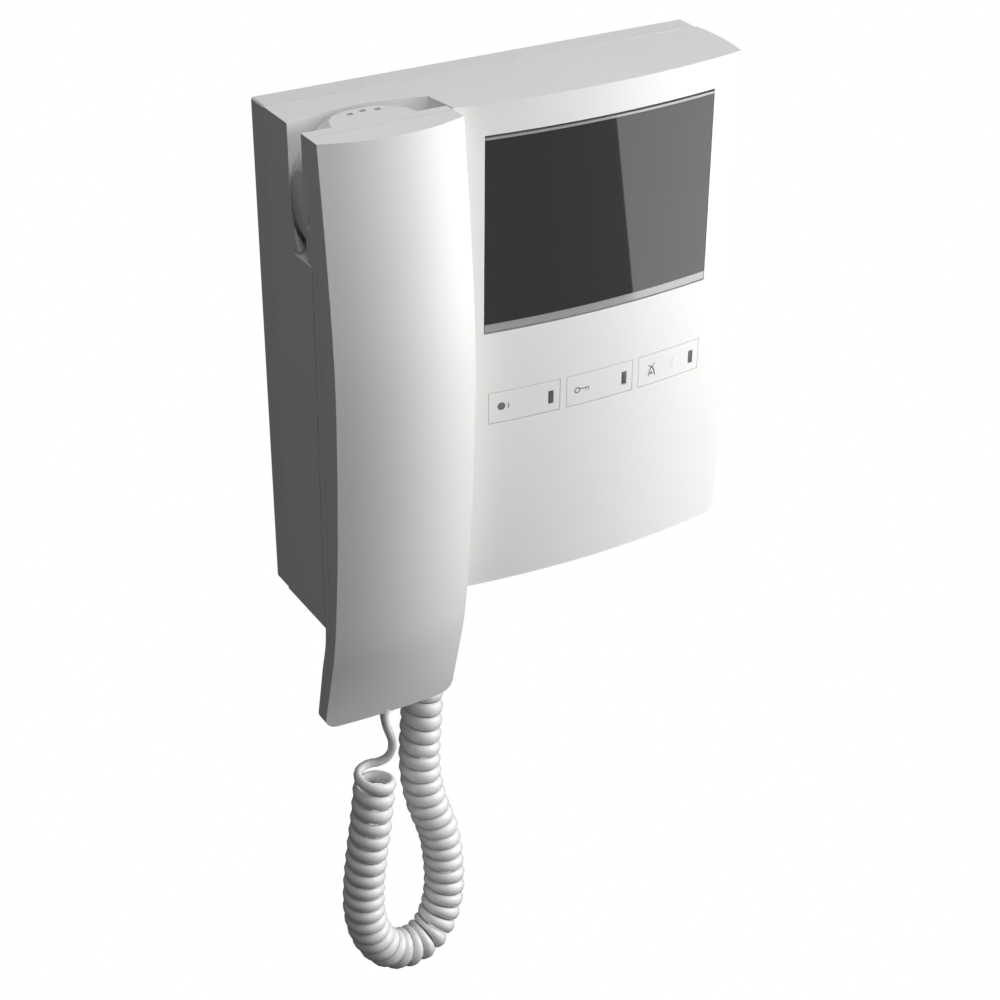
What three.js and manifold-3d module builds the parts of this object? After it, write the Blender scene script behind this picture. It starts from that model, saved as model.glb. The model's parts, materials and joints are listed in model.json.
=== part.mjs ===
// Wall-mounted video intercom monitor: a shallow housing with a display and three buttons, a handset that
// hangs in a pocket at its left, and a curly cord between the two.
//
// Millimetres. The origin is the centre of the wall face. +X points right as seen by the user, +Y points
// into the wall, so the front is at negative Y, and +Z points up. A "depth" is a distance in front of the
// wall.

import * as THREE from "three";
import { mergeVertices } from "three/addons/utils/BufferGeometryUtils.js";
import Module from "manifold-3d";

// ---------------------------------------------------------------- driving dimensions

const GAP = 0.3; // between pieces that touch
const WALL = 2.2; // moulded wall thickness
const HALF_WIDTH = 81; // housing
const HALF_HEIGHT = 88.5;
const PLATE_DEPTH = 8.7; // wall plate, front to back
const SEAM_DEPTH = 9.0; // where the front cover starts
const BED_DEPTH = 39.6; // flat bed behind the handset, at mid height
const PANEL_LEFT = -30.5; // where the bed ends and the curved panel starts
const PANEL_RIGHT = 79.8;
const PANEL_LEFT_DEPTH = 38.4;
const PANEL_RIGHT_DEPTH = 36.3;
const PANEL_CROWN = 5.0; // bulge of the curved panel
const FRONT_TILT = 0.0175; // the front is deeper at the top, per mm of height
const SIDE_BULGE = 1.2;
const SIDE_LEAN = 0.13; // how fast the right side widens behind the front face
const HOUSING_CORNERS = [1, 4, 0, 0]; // bottom left, bottom right, top right, top left
const FRONT_CORNER = 4; // the front face's own corner at the bottom right
const PLATE_TOP = 88.7; // the wall plate stands a little above the cover

const WINDOW = { left: -19.8, right: 68.5, bottom: 8.4, top: 77.9 };
const TRIM_BOTTOM_HEIGHT = 2.8;
const TRIM_TOP_HEIGHT = 0.8;
const TRIM_BOTTOM_GAP = 0.6; // dark lines between the trims and the cover
const TRIM_TOP_GAP = 0.8;
const WINDOW_THICKNESS = 2.6;

const BUTTON = { width: 26.6, height: 11.4, z: -19.7, pitch: 29.4, firstX: -4.6 };
const BUTTON_NAMES = ["talk", "door", "privacy"];
const BUTTON_DEPTH = 4.2; // cap thickness with its flange
const BUTTON_FLANGE = 1.0;
const BUTTON_GAP = 0.2; // between a button and its opening
const LED = { width: 1.6, height: 4.5, offsetX: 9.9, offsetZ: -0.4 };

const HANDSET_CENTRE = -55.9;
const HANDSET_HALF = 25.1;
const HANDSET_TOP = 88.5;
const HANDSET_BOTTOM = -132.6;
const HANDSET_WALL = 1.8;
const HANDSET_CORNER = 5; // bottom corners
const PARTING = 0.42; // where the two shells meet, as a share of the thickness at the side
const PARTING_GAP = 0.25;
const EAR_Z = 65.5; // centre of the earpiece boss
const EAR_BACK_DEPTH = 36.7; // the face that the boss stands on
const MOUTH_Z = -105.5; // microphone

const POCKET_RIGHT = -30.2;
const POCKET_FLOOR = 47.5; // at the left side, where the boss shows through a notch
const POCKET_BACK_DEPTH = 22.2; // deepest point of the pocket's curved back wall
const POCKET_SKIN = 2.0;
const POCKET_DRAFT = 1.7; // how far the pocket narrows at its right, towards the back

const CORD_RADIUS = 1.6;
const COIL_RADIUS = 7.9;
const BODY_EXIT = new THREE.Vector3(-33.6, -17, -HALF_HEIGHT);
const HANDSET_EXIT = new THREE.Vector3(-57, -33, HANDSET_BOTTOM);

const LEVER_PIN = new THREE.Vector3(-56, -29, -30); // pivot of the hook lever, along X
const WHEEL = { x: 74.5, depth: 19.4, radius: 9, thickness: 3.2 };
const WHEEL_HEIGHTS = { volume: -40, brightness: -62 };

const BOARD = { left: -72, right: 77, bottom: -74, top: 4, depth: 13, thickness: 1.6 };

// Handset outline seen from the side: height, depth of the back, depth of the front's side edges, and how
// far the front bulges between its edges.
const HANDSET_STATIONS = [
  [-132.6, 28.4, 34.2, 1.2],
  [-108, 34.4, 41.6, 3.4],
  [-88.5, 38.8, 46.4, 4.2],
  [-50, 37.6, 51.2, 4.8],
  [5, 37.6, 54.3, 5.2],
  [46, 37.2, 52.2, 5.2],
  [88.5, 36.7, 47.8, 5.2],
];

// Centreline of the coil, from the handset's end, round the bottom of the loop, to the housing's end.
const COIL_ROUTE = [
  [-60.3, -31, -160.5],
  [-62.5, -30.8, -180],
  [-64.9, -30.4, -197.7],
  [-66.3, -30, -213],
  [-66.2, -29.8, -224],
  [-63.5, -29.4, -235.1],
  [-58.4, -28.9, -243.7],
  [-52.8, -28.2, -248.2],
  [-44.1, -27.2, -249.8],
  [-36.9, -26.2, -246.5],
  [-32.1, -25.2, -239.1],
  [-29.6, -24.2, -230],
  [-29, -23.2, -221],
  [-30, -21.6, -205.5],
  [-34.4, -20, -189],
  [-36, -19, -177],
  [-35.8, -18.4, -165],
  [-34.6, -18, -152],
  [-33.6, -17.4, -138],
  [-33.6, -17, -122],
];

// The straight tail between the handset's gland and the first turn.
const TAIL_ROUTE = [
  [-57, -33, -133.1],
  [-57, -33, -137],
  [-55.6, -32.4, -142],
  [-53.6, -31.4, -147],
  [-52.8, -30.8, -152],
  [-53.6, -30.6, -160],
];

// ---------------------------------------------------------------- solid helpers

const wasm = await Module();
wasm.setup();

function toSolid(geometry) {
  const bare = geometry.clone();
  bare.deleteAttribute("normal");
  bare.deleteAttribute("uv");
  const merged = mergeVertices(bare, 1e-4);
  return new wasm.Manifold(
    new wasm.Mesh({
      numProp: 3,
      vertProperties: merged.attributes.position.array,
      triVerts: new Uint32Array(merged.index.array),
    }),
  );
}

function toGeometry(solid) {
  const mesh = solid.getMesh();
  const geometry = new THREE.BufferGeometry();
  geometry.setAttribute("position", new THREE.BufferAttribute(mesh.vertProperties, 3));
  geometry.setIndex(new THREE.BufferAttribute(mesh.triVerts, 1));
  return geometry;
}

function combine(first, rest, operation) {
  const start = toSolid(first);
  return toGeometry(rest.reduce((solid, next) => solid[operation](toSolid(next)), start));
}

const join = (first, ...rest) => combine(first, rest, "add");
const cut = (first, ...rest) => combine(first, rest, "subtract");
const common = (first, ...rest) => combine(first, rest, "intersect");

// A block between two corners.
function block(x0, x1, y0, y1, z0, z1) {
  const box = new THREE.BoxGeometry(x1 - x0, y1 - y0, z1 - z0);
  return box.translate((x0 + x1) / 2, (y0 + y1) / 2, (z0 + z1) / 2);
}

// A rectangle with four corner radii: bottom left, bottom right, top right, top left.
function roundedRect(x0, y0, x1, y1, [bl, br, tr, tl]) {
  const shape = new THREE.Shape();
  shape.moveTo(x0 + bl, y0);
  shape.lineTo(x1 - br, y0);
  if (br) shape.absarc(x1 - br, y0 + br, br, -Math.PI / 2, 0);
  shape.lineTo(x1, y1 - tr);
  if (tr) shape.absarc(x1 - tr, y1 - tr, tr, 0, Math.PI / 2);
  shape.lineTo(x0 + tl, y1);
  if (tl) shape.absarc(x0 + tl, y1 - tl, tl, Math.PI / 2, Math.PI);
  shape.lineTo(x0, y0 + bl);
  if (bl) shape.absarc(x0 + bl, y0 + bl, bl, Math.PI, 1.5 * Math.PI);
  return shape;
}

function extrude(shape, length, curveSegments = 6) {
  return new THREE.ExtrudeGeometry(shape, { depth: length, bevelEnabled: false, curveSegments });
}

// An outline drawn in X and Z, reaching from y0 to y1.
function prismY(shape, y0, y1, curveSegments) {
  return extrude(shape, y1 - y0, curveSegments).rotateX(Math.PI / 2).translate(0, y1, 0);
}

// An outline drawn in X and Y, reaching from z0 to z1.
function prismZ(shape, z0, z1, curveSegments) {
  return extrude(shape, z1 - z0, curveSegments).translate(0, 0, z0);
}

// An outline drawn in Y and Z, reaching from x0 to x1.
function prismX(shape, x0, x1, curveSegments) {
  const turn = new THREE.Matrix4().makeBasis(
    new THREE.Vector3(0, 1, 0),
    new THREE.Vector3(0, 0, 1),
    new THREE.Vector3(1, 0, 0),
  );
  return extrude(shape, x1 - x0, curveSegments).applyMatrix4(turn).translate(x0, 0, 0);
}

// A round rod between two values of one axis, centred on the other two.
function rod(axis, radius, from, to, [u, v], sides = 20) {
  const cylinder = new THREE.CylinderGeometry(radius, radius, to - from, sides);
  const middle = (from + to) / 2;
  if (axis === "x") return cylinder.rotateZ(-Math.PI / 2).translate(middle, u, v);
  if (axis === "y") return cylinder.translate(u, middle, v);
  return cylinder.rotateX(Math.PI / 2).translate(u, v, middle);
}

// A body turned about an axis parallel to Y. The profile gives radius and Y, from the low end up.
function turned(profile, x, z, segments = 32) {
  const points = profile.map(([radius, y]) => new THREE.Vector2(radius, y));
  return new THREE.LatheGeometry(points, segments).translate(x, 0, z);
}

// Rings of equally many points, each convex and counterclockwise seen from above, stacked upwards.
function loft(rings) {
  const count = rings[0].length;
  const index = [];
  for (let level = 0; level < rings.length - 1; level++) {
    for (let j = 0; j < count; j++) {
      const a = level * count + j;
      const b = level * count + ((j + 1) % count);
      index.push(a, b, b + count, a, b + count, a + count);
    }
  }
  const top = (rings.length - 1) * count;
  for (let j = 1; j < count - 1; j++) {
    index.push(0, j + 1, j);
    index.push(top, top + j, top + j + 1);
  }
  const geometry = new THREE.BufferGeometry();
  geometry.setAttribute("position", new THREE.Float32BufferAttribute(rings.flat(2), 3));
  geometry.setIndex(index);
  return geometry;
}

// A solid tube along a list of points.
function tubeAlong(route, radius, sides, steps) {
  const path = new THREE.CatmullRomCurve3(route.map((point) => new THREE.Vector3(...point)));
  const section = new THREE.Shape();
  for (let i = 0; i < sides; i++) {
    const angle = (i / sides) * 2 * Math.PI;
    const x = radius * Math.cos(angle);
    const y = radius * Math.sin(angle);
    if (i) section.lineTo(x, y);
    else section.moveTo(x, y);
  }
  section.closePath();
  return new THREE.ExtrudeGeometry(section, { extrudePath: path, steps, curveSegments: 1 });
}

// A screw turned about Y: the head's outer face at y = 0, the shank towards +Y.
function screwGeometry(headRadius, headHeight, shankRadius, length) {
  const slot = block(-headRadius * 0.7, headRadius * 0.7, -1, headHeight * 0.45, -0.35, 0.35);
  const crossSlot = block(-0.35, 0.35, -1, headHeight * 0.45, -headRadius * 0.7, headRadius * 0.7);
  const bolt = turned(
    [
      [0, 0],
      [headRadius * 0.8, 0],
      [headRadius, headHeight * 0.35],
      [headRadius, headHeight],
      [shankRadius, headHeight],
      [shankRadius, length - shankRadius],
      [0, length],
    ],
    0,
    0,
    14,
  );
  return cut(bolt, slot, crossSlot);
}

// ---------------------------------------------------------------- materials

const finish = (color, roughness, metalness = 0) =>
  new THREE.MeshStandardMaterial({ color, roughness, metalness });

const MATERIALS = {
  housing: finish(0xe6e6e3, 0.38),
  plate: finish(0xd6d6d6, 0.45),
  window: finish(0x202022, 0.05),
  trim: finish(0xa9a9ab, 0.25, 0.4),
  indicator: finish(0x4a4a4a, 0.2),
  panel: finish(0x2b2c2f, 0.3),
  steel: finish(0xb4b6b8, 0.35, 0.9),
  board: finish(0x1f5a35, 0.55),
  component: finish(0x26272a, 0.5),
  terminal: finish(0x3c7d4a, 0.45),
  rubber: finish(0x2a2a2a, 0.85),
  cord: finish(0xf1f1ee, 0.35),
};

const nodes = new Map();

function add(name, geometry, material, position = [0, 0, 0]) {
  const mesh = new THREE.Mesh(geometry, MATERIALS[material]);
  mesh.name = name;
  mesh.position.set(...position);
  nodes.set(name, mesh);
  return mesh;
}

// ---------------------------------------------------------------- housing shape

// Outline of the housing seen from above, pulled in by an inset: flat bed at the left, curved panel at the
// right, and a right side that bulges slightly.
function planOutline(inset) {
  const back = 30;
  const left = -HALF_WIDTH + inset;
  const right = HALF_WIDTH - inset;
  const crownX = (PANEL_LEFT + PANEL_RIGHT) / 2;
  const crownDepth = (PANEL_LEFT_DEPTH + PANEL_RIGHT_DEPTH) / 2 + 2 * PANEL_CROWN;
  const shape = new THREE.Shape();
  shape.moveTo(left, back);
  shape.lineTo(left, inset - BED_DEPTH);
  shape.lineTo(PANEL_LEFT, inset - PANEL_LEFT_DEPTH);
  shape.quadraticCurveTo(crownX, inset - crownDepth, PANEL_RIGHT - inset, inset - PANEL_RIGHT_DEPTH);
  shape.quadraticCurveTo(right + 2 * SIDE_BULGE, -PLATE_DEPTH - 12, right, -PLATE_DEPTH + 4);
  shape.lineTo(right, back);
  return shape;
}

// The whole housing as a solid in front of a given depth.
function housingSolid(inset, fromDepth) {
  const lean = new THREE.Matrix4().makeShear(0, 0, 0, 0, 0, 0);
  lean.elements[9] = -FRONT_TILT;
  const plan = prismZ(planOutline(inset), -HALF_HEIGHT - 5, HALF_HEIGHT + 5, 22).applyMatrix4(lean);
  const front = roundedRect(
    -HALF_WIDTH + inset,
    -HALF_HEIGHT + inset,
    HALF_WIDTH + SIDE_BULGE - inset,
    HALF_HEIGHT - inset,
    HOUSING_CORNERS,
  );
  return cut(common(plan, prismY(front, -70, -fromDepth, 4)), frontCornerWaste(inset));
}

// What rounds off the front face's bottom right corner, following the lean of the right side.
function frontCornerWaste(inset) {
  const x = PANEL_RIGHT - FRONT_CORNER;
  const z = FRONT_CORNER - HALF_HEIGHT;
  const radius = FRONT_CORNER - inset;
  const shape = new THREE.Shape();
  shape.moveTo(x, z - 12);
  shape.lineTo(x + 12, z - 12);
  shape.lineTo(x + 12, z);
  shape.lineTo(x + radius, z);
  shape.absarc(x, z, radius, 0, -Math.PI / 2, true);
  const lean = new THREE.Matrix4();
  lean.elements[4] = SIDE_LEAN;
  lean.elements[12] = SIDE_LEAN * PANEL_RIGHT_DEPTH;
  return prismY(shape, -70, -5, 6).applyMatrix4(lean);
}

// A slab that follows the housing's front face: its outer skin to the given thickness.
function frontSlab(thickness, from = 0) {
  const outer = housingSolid(0, 5);
  const skin = cut(outer, outer.clone().translate(0, thickness, 0));
  return from ? common(skin, outer.clone().translate(0, from, 0)) : skin;
}

// The pocket for the earpiece boss, grown by a skin: open at the top, at the left and at the front. Its
// lower end is round, with a flat floor where it breaks through the left side, and its back wall is a
// shallow hollow curve.
function pocketSolid(skin) {
  const right = POCKET_RIGHT + skin;
  const left = -HALF_WIDTH - 12;
  const back = skin - POCKET_BACK_DEPTH;
  const sideBack = back - 4.6;
  const plan = new THREE.Shape();
  plan.moveTo(left, -70);
  plan.lineTo(right, -70);
  plan.lineTo(right, -38);
  plan.lineTo(right - POCKET_DRAFT, sideBack + 0.6);
  plan.quadraticCurveTo(HANDSET_CENTRE - 1, back + 4.2, -HALF_WIDTH, sideBack + 0.2);
  plan.lineTo(left, sideBack - 2);
  const depthwise = prismZ(plan, EAR_Z - 45, HALF_HEIGHT + 20, 14);
  const bowl = turned(
    [
      [0, -70],
      [28.8 + skin, -70],
      [28.8 + skin, -33 + skin],
      [28.4 + skin, -31 + skin],
      [27.6 + skin, -29.4 + skin],
      [26.8 + skin, -27.8 + skin],
      [26.6 + skin / 2, -24 + skin],
      [26.6 + skin / 2, -16 + skin],
      [0, -16 + skin],
    ],
    HANDSET_CENTRE,
    EAR_Z,
    48,
  );
  const shaft = block(left, POCKET_RIGHT + 20, -70, -10, EAR_Z, HALF_HEIGHT + 20);
  const side = new THREE.Shape();
  side.moveTo(-70, POCKET_FLOOR - skin);
  side.lineTo(skin - 31.4, POCKET_FLOOR - skin);
  side.lineTo(skin - 29.5, POCKET_FLOOR + 3.5 - skin);
  side.lineTo(skin - 27.8, POCKET_FLOOR + 11.3);
  side.lineTo(skin - 27.8, EAR_Z + 1);
  side.lineTo(-70, EAR_Z + 1);
  const notch = prismX(side, left, skin - 72);
  return common(depthwise, join(bowl, shaft, notch));
}

// The chamfer along the notch's floor, on the left side.
function pocketLip() {
  const corner = new THREE.Shape();
  corner.moveTo(-HALF_WIDTH - 1, POCKET_FLOOR - 2.8);
  corner.lineTo(-HALF_WIDTH + 2, POCKET_FLOOR + 0.2);
  corner.lineTo(-HALF_WIDTH - 1, POCKET_FLOOR + 0.2);
  return prismY(corner, -70, -28);
}

// ---------------------------------------------------------------- housing pieces

const buttonX = (index) => BUTTON.firstX + index * BUTTON.pitch;

function buttonPrism(index, grow, y0, y1) {
  const x = buttonX(index);
  const halfWidth = BUTTON.width / 2 + grow;
  const halfHeight = BUTTON.height / 2 + grow;
  return block(x - halfWidth, x + halfWidth, y0, y1, BUTTON.z - halfHeight, BUTTON.z + halfHeight);
}

const BOARD_POSTS = [
  [-62, -66],
  [62, -66],
  [-62, -4],
  [62, -4],
];
const PLATE_RIM = 2;
const KEYHOLE = { x: 45, z: 50, head: 4.6, shank: 2.3, lift: 10 };
const COVER_SCREW_X = { left: -62, right: 60 };
const COVER_SCREW_DEPTH = 15;

function wallPlate() {
  const outline = (inset) =>
    roundedRect(
      -HALF_WIDTH + inset,
      -HALF_HEIGHT + inset,
      HALF_WIDTH - inset,
      PLATE_TOP - inset,
      [2, 2, 1, 1],
    );
  const tray = cut(
    prismY(outline(0), -PLATE_DEPTH, 0, 4),
    prismY(outline(PLATE_RIM), -PLATE_DEPTH - 1, -2.6, 4),
  );
  const posts = BOARD_POSTS.map(([x, z]) => rod("y", 3.5, -BOARD.depth + GAP, -2, [x, z], 16));
  const postBores = BOARD_POSTS.map(([x, z]) => rod("y", 1.3, -20, -6, [x, z], 12));
  const tabs = Object.values(COVER_SCREW_X).map((x) =>
    block(x - 4.5, x + 4.5, -COVER_SCREW_DEPTH - 4.5, -2, -82, -77),
  );
  const tabBores = Object.values(COVER_SCREW_X).map((x) =>
    rod("z", 1.7, -90, -70, [x, -COVER_SCREW_DEPTH], 14),
  );
  const cableEntry = prismY(roundedRect(-20, 30, 20, 52, [3, 3, 3, 3]), -6, 4, 3);
  const keyholes = [-KEYHOLE.x, KEYHOLE.x].flatMap((x) => [
    rod("y", KEYHOLE.head, -6, 4, [x, KEYHOLE.z], 20),
    block(x - KEYHOLE.shank, x + KEYHOLE.shank, -6, 4, KEYHOLE.z, KEYHOLE.z + KEYHOLE.lift),
  ]);
  const slotOutline = (x) => roundedRect(x - 6, -44, x + 6, -39.4, [2.3, 2.3, 2.3, 2.3]);
  const screwSlots = [-25, 25].map((x) => prismY(slotOutline(x), -6, 4, 4));
  const body = join(tray, ...posts, ...tabs);
  return cut(body, ...postBores, ...tabBores, cableEntry, ...keyholes, ...screwSlots);
}

const SPEAKER = { left: 17, right: 53, near: -34.5, far: -17.5 };

function frontCover() {
  const outer = housingSolid(0, SEAM_DEPTH);
  const hollow = cut(housingSolid(WALL, SEAM_DEPTH - 3), pocketSolid(POCKET_SKIN));
  const bowlSkin = common(pocketSolid(POCKET_SKIN), housingSolid(0, SEAM_DEPTH));
  const shell = join(cut(outer, hollow), bowlSkin);

  const window = block(WINDOW.left, WINDOW.right, -60, -28, WINDOW.bottom, WINDOW.top);
  const buttons = BUTTON_NAMES.map((_, i) => buttonPrism(i, BUTTON_GAP, -60, -28));
  const leverSlot = block(LEVER_PIN.x - 3.8, LEVER_PIN.x + 3.8, -60, -33, -11.2, -1);
  const wheelSlots = Object.values(WHEEL_HEIGHTS).map((z) =>
    block(76, 90, -WHEEL.depth - 2.5, -WHEEL.depth + 2.5, z - 8.2, z + 8.2),
  );
  const glandHole = rod("z", 4.0, -95, -80, [BODY_EXIT.x, BODY_EXIT.y], 20);
  const soundSlots = [0, 1, 2, 3, 4].map((i) =>
    block(SPEAKER.left + 8, SPEAKER.right - 8, -21.8 - 3 * i, -20.2 - 3 * i, -95, -84),
  );
  const ears = [
    [-66, -63],
    [-49, -46],
  ].map(([x0, x1]) => block(x0, x1, -37.4, -25.5, -34.5, -25.5));
  const earBore = rod("x", 1.8, -70, -42, [LEVER_PIN.y, LEVER_PIN.z], 16);
  const screwPads = Object.values(COVER_SCREW_X).map((x) =>
    block(x - 4.5, x + 4.5, -COVER_SCREW_DEPTH - 4.5, -COVER_SCREW_DEPTH + 4.5, -87.5, -83.2),
  );
  const screwBores = Object.values(COVER_SCREW_X).flatMap((x) => [
    rod("z", 3.1, -95, -86.3, [x, -COVER_SCREW_DEPTH], 18),
    rod("z", 1.8, -95, -80, [x, -COVER_SCREW_DEPTH], 14),
  ]);
  const board = BUTTON_BOARD;
  const boardPosts = BUTTON_BOARD_SCREWS.map((x) =>
    rod("y", 2.6, -40.2, -board.depth - GAP, [x, board.screwZ], 14),
  );
  const postBores = BUTTON_BOARD_SCREWS.map((x) =>
    rod("y", 1.2, -board.depth - 5, -20, [x, board.screwZ], 12),
  );

  const body = join(shell, ...ears, ...screwPads, ...boardPosts);
  return cut(
    body,
    pocketSolid(0),
    pocketLip(),
    window,
    ...buttons,
    leverSlot,
    ...wheelSlots,
    glandHole,
    ...soundSlots,
    earBore,
    ...screwBores,
    ...postBores,
  );
}

// Outer Y at the front face of the button board; its switches stand on that side.
const BUTTON_BOARD = { depth: 31.2, left: -21, right: 72, bottom: -34, top: -12.5, screwZ: -31 };
const BUTTON_BOARD_SCREWS = [10.1, 39.5];

function windowPart(bottom, top, thickness) {
  const opening = block(WINDOW.left + GAP, WINDOW.right - GAP, -60, -28, bottom, top);
  return common(frontSlab(thickness), opening);
}

function addWindow() {
  const low = WINDOW.bottom + TRIM_BOTTOM_GAP;
  const high = WINDOW.top - TRIM_TOP_GAP;
  const glassLow = low + TRIM_BOTTOM_HEIGHT + 0.1;
  const glassHigh = high - TRIM_TOP_HEIGHT - 0.1;
  add("display_window", windowPart(glassLow, glassHigh, WINDOW_THICKNESS), "window");
  add("window_trim_bottom", windowPart(low, low + TRIM_BOTTOM_HEIGHT, WINDOW_THICKNESS), "trim");
  add("window_trim_top", windowPart(high - TRIM_TOP_HEIGHT, high, WINDOW_THICKNESS), "trim");
}

function addDisplay() {
  const frame = (x0, x1, z0, z1, y0, y1) => block(x0, x1, y0, y1, z0, z1);
  const panel = frame(-21.6, 70.4, 6.9, 79.3, -35, -30);
  const rim = cut(frame(-23.4, 71.9, 5.1, 81.1, -35, -27.9), frame(-21.9, 70.7, 6.6, 79.6, -40, -29.7));
  const bracket = cut(rim, frame(-15, 64, 13, 73, -32, -20));
  add("display_panel", panel, "panel");
  add("display_bracket", bracket, "steel");
  add("display_board", frame(-16, 65, 12, 74, -27.6, -26), "board");
  const bend = new THREE.Shape();
  bend.moveTo(-14.9, -2);
  bend.lineTo(-20, -2);
  bend.lineTo(-20, 18);
  bend.lineTo(-25.7, 18);
  bend.lineTo(-25.7, 17.2);
  bend.lineTo(-20.8, 17.2);
  bend.lineTo(-20.8, -2.8);
  bend.lineTo(-14.9, -2.8);
  add("ribbon_cable", prismX(bend, 18, 32), "cord");
}

function addMainBoard() {
  const front = -BOARD.depth - BOARD.thickness;
  const plain = block(BOARD.left, BOARD.right, front, -BOARD.depth, BOARD.bottom, BOARD.top);
  const holes = BOARD_POSTS.map(([x, z]) => rod("y", 1.5, -20, -5, [x, z], 12));
  add("main_board", cut(plain, ...holes), "board");
  BOARD_POSTS.forEach(([x, z], i) => {
    const screw = screwGeometry(2.6, 1.7, 1.0, 8);
    add(`board_screw_${i + 1}`, screw, "steel", [x, front - GAP - 1.7, z]);
  });
  add("filter_capacitor", rod("y", 5, front - GAP - 12, front - GAP, [6, -48], 20), "component");
  add("door_relay", block(-30, -12, front - GAP - 14, front - GAP, -62, -50), "component");
}

function addTerminalBlock() {
  const body = block(-12, 38, -12, -2.9, -64, -52);
  const wires = [0, 1, 2, 3, 4, 5].map((i) => rod("z", 1.7, -70, -58, [-7.5 + 8.1 * i, -6.2], 10));
  const heads = [0, 1, 2, 3, 4, 5].map((i) => rod("y", 2.2, -15, -9.5, [-7.5 + 8.1 * i, -57.5], 10));
  add("terminal_block", cut(body, ...wires, ...heads), "terminal");
}

function addButtons() {
  const slab = frontSlab(BUTTON_DEPTH);
  const inner = frontSlab(BUTTON_DEPTH, WALL + 0.8);
  const board = BUTTON_BOARD;
  const plain = block(board.left, board.right, -board.depth, -board.depth + 1.6, board.bottom, board.top);
  const holes = BUTTON_BOARD_SCREWS.map((x) => rod("y", 1.5, -40, -20, [x, board.screwZ], 12));
  add("button_board", cut(plain, ...holes), "board");
  ["left", "right"].forEach((side, i) => {
    const screw = screwGeometry(2.4, 1.6, 0.9, 6).rotateZ(Math.PI);
    const place = [BUTTON_BOARD_SCREWS[i], -board.depth + 1.6 + GAP + 1.6, board.screwZ];
    add(`button_board_screw_${side}`, screw, "steel", place);
  });
  BUTTON_NAMES.forEach((name, i) => {
    const x = buttonX(i);
    const ledX = x + LED.offsetX;
    const ledZ = BUTTON.z + LED.offsetZ;
    const ledBlock = (grow, y0, y1) =>
      block(
        ledX - LED.width / 2 - grow,
        ledX + LED.width / 2 + grow,
        y0,
        y1,
        ledZ - LED.height / 2 - grow,
        ledZ + LED.height / 2 + grow,
      );
    const cap = common(slab, buttonPrism(i, 0, -60, -28));
    const flange = common(inner, buttonPrism(i, BUTTON_FLANGE, -60, -28));
    const stem = block(x - 2, x + 2, -40, -35.9, BUTTON.z - 2, BUTTON.z + 2);
    const body = cut(join(cap, flange, stem), ledBlock(BUTTON_GAP, -60, -20));
    add(`${name}_button`, body, "housing");
    add(`${name}_indicator`, common(slab, ledBlock(0, -60, -20)), "indicator");
    const seat = -board.depth - GAP;
    const switchBase = block(x - 3, x + 3, seat - 2.2, seat, BUTTON.z - 3, BUTTON.z + 3);
    const plunger = rod("y", 1.6, seat - 3, seat - 1, [x, BUTTON.z], 14);
    add(`${name}_switch`, join(switchBase, plunger), "component");
  });
}

function addCallSounder() {
  const { left, right, near, far } = SPEAKER;
  const basket = prismZ(roundedRect(left, near, right, far, [7, 7, 7, 7]), -86, -79, 4);
  const magnet = rod("z", 6.5, -79.5, -75.2, [(left + right) / 2, (near + far) / 2], 20);
  const cone = rod("z", 7, -90, -83, [(left + right) / 2, (near + far) / 2], 24);
  add("call_sounder", cut(join(basket, magnet), cone), "component");
}

function addThumbwheels() {
  const front = -BOARD.depth - BOARD.thickness - GAP;
  const rim = new THREE.Shape();
  const teeth = 30;
  for (let i = 0; i < teeth; i++) {
    const angle = (i / teeth) * 2 * Math.PI;
    const next = ((i + 0.5) / teeth) * 2 * Math.PI;
    const valley = WHEEL.radius - 0.5;
    const peak = [WHEEL.radius * Math.cos(angle), WHEEL.radius * Math.sin(angle)];
    if (i) rim.lineTo(...peak);
    else rim.moveTo(...peak);
    rim.lineTo(valley * Math.cos(next), valley * Math.sin(next));
  }
  const hub = new THREE.Path();
  hub.absarc(0, 0, 1.9, 0, 2 * Math.PI, true);
  rim.holes.push(hub);
  const half = WHEEL.thickness / 2;
  for (const [name, z] of Object.entries(WHEEL_HEIGHTS)) {
    const wheel = prismY(rim, -WHEEL.depth - half, -WHEEL.depth + half, 4);
    add(`${name}_wheel`, wheel, "component", [WHEEL.x, 0, z]);
    const base = block(68.6, 76.6, front - 2.5, front, z - 4.2, z + 4.2);
    const shaft = rod("y", 1.5, -WHEEL.depth - half, front - 2, [WHEEL.x, z], 14);
    add(`${name}_pot`, join(base, shaft), "component");
  }
}

// The lever's nose sticks out of the bed through a slot, and its tail works the switch.
function addHookSwitch() {
  const { x, y, z } = LEVER_PIN;
  const hub = rod("x", 3.2, x - 3.4, x + 3.4, [y, z], 20);
  const arm = block(x - 3, x + 3, y - 1.6, y + 1.2, z + 1, z + 27.8);
  const nose = block(x - 3, x + 3, -39.1, y, z + 21.8, z + 27.8);
  const tail = block(x - 3, x + 3, y + 1, y + 9, z - 2, z + 0.5);
  const bore = rod("x", 1.8, x - 10, x + 10, [y, z], 16);
  add("hook_lever", cut(join(hub, arm, nose, tail), bore), "component");
  add("hook_pin", rod("x", 1.5, x - 10, x + 10, [y, z], 16), "steel");
  const coil = cut(
    rod("x", 3.0, x - 6.6, x - 3.8, [y, z], 16),
    rod("x", 2.0, x - 10, x, [y, z], 16),
  );
  add("hook_spring", coil, "steel");
  const front = -BOARD.depth - BOARD.thickness - GAP;
  const box = block(x - 5, x + 5, front - 9, front, z - 14, z - 4);
  const plunger = block(x - 1.5, x + 1.5, front - 6.5, front - 3.5, z - 5, z - 2.3);
  add("hook_switch", join(box, plunger), "component");
}

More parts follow.
